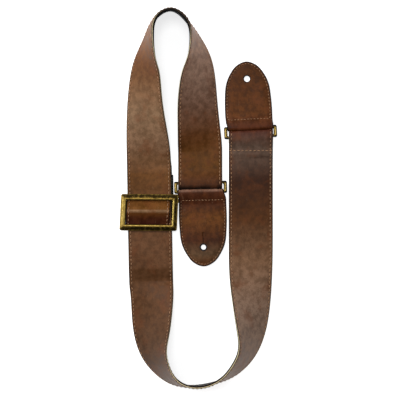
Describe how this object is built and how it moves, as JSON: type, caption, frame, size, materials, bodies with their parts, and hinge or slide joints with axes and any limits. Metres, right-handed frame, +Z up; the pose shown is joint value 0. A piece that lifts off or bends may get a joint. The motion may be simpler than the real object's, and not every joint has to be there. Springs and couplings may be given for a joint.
{
  "type": "guitar strap",
  "caption": "Adjustable leather guitar strap with webbing backing, metal slide, two rectangular rings and rounded end tabs with pin holes.",
  "frame": {"origin": "centre of the strap's bounding box at table height", "axes": "+Z up from the table, +Y along the strap's straight runs from the wide turn towards the narrow turn, +X across them from the slide towards ring A"},
  "size_m": [0.1811, 0.4378, 0.0509],
  "materials": {
    "strap_leather": "distressed matte",
    "tab_leather": "distressed matte",
    "webbing": "woven, matte",
    "thread": "waxed thread",
    "antique_brass": "antique, worn satin"
  },
  "bodies": {
    "strap": {"leather_face": "strap_leather", "backing_webbing": "webbing", "return_webbing": "webbing", "edge_stitching_outer": "thread", "edge_stitching_inner": "thread", "ring_a_cross_stitching": "thread"},
    "ring_a": {"ring_a": "antique_brass"},
    "tab_a": {"tab_a_cover": "tab_leather", "tab_a_liner": "tab_leather", "tab_a_stitching": "thread"},
    "ring_b": {"ring_b": "antique_brass"},
    "tab_b": {"tab_b_cover": "tab_leather", "tab_b_liner": "tab_leather", "tab_b_stitching": "thread"},
    "slide": {"slider_frame": "antique_brass", "slider_bar": "antique_brass", "slider_end_loop": "webbing", "slider_loop_stitching": "thread"}
  },
  "joints": [
    {"name": "ring_a_swing", "type": "hinge", "parent": "strap", "child": "ring_a", "pos_m": [0.05997, 0.07061, 0.0045], "axis": [0.9988, 0.0488, 0], "range_deg": [-90, 90]},
    {"name": "tab_a_swing", "type": "hinge", "parent": "ring_a", "child": "tab_a", "pos_m": [0.05943, 0.08159, 0.0045], "axis": [0.9988, 0.0488, 0], "range_deg": [-90, 75]},
    {"name": "ring_b_swing", "type": "hinge", "parent": "strap", "child": "ring_b", "pos_m": [0.00208, 0.018, 0.0045], "axis": [-0.9998, -0.0209, 0], "range_deg": [-90, 90]},
    {"name": "tab_b_swing", "type": "hinge", "parent": "ring_b", "child": "tab_b", "pos_m": [0.00232, 0.007, 0.0045], "axis": [-0.9998, -0.0209, 0], "range_deg": [-90, 75]},
    {"name": "slider_travel", "type": "slide", "parent": "strap", "child": "slide", "axis": [-0.0187, 0.9998, 0], "range_m": [-0.055, 0]}
  ]
}
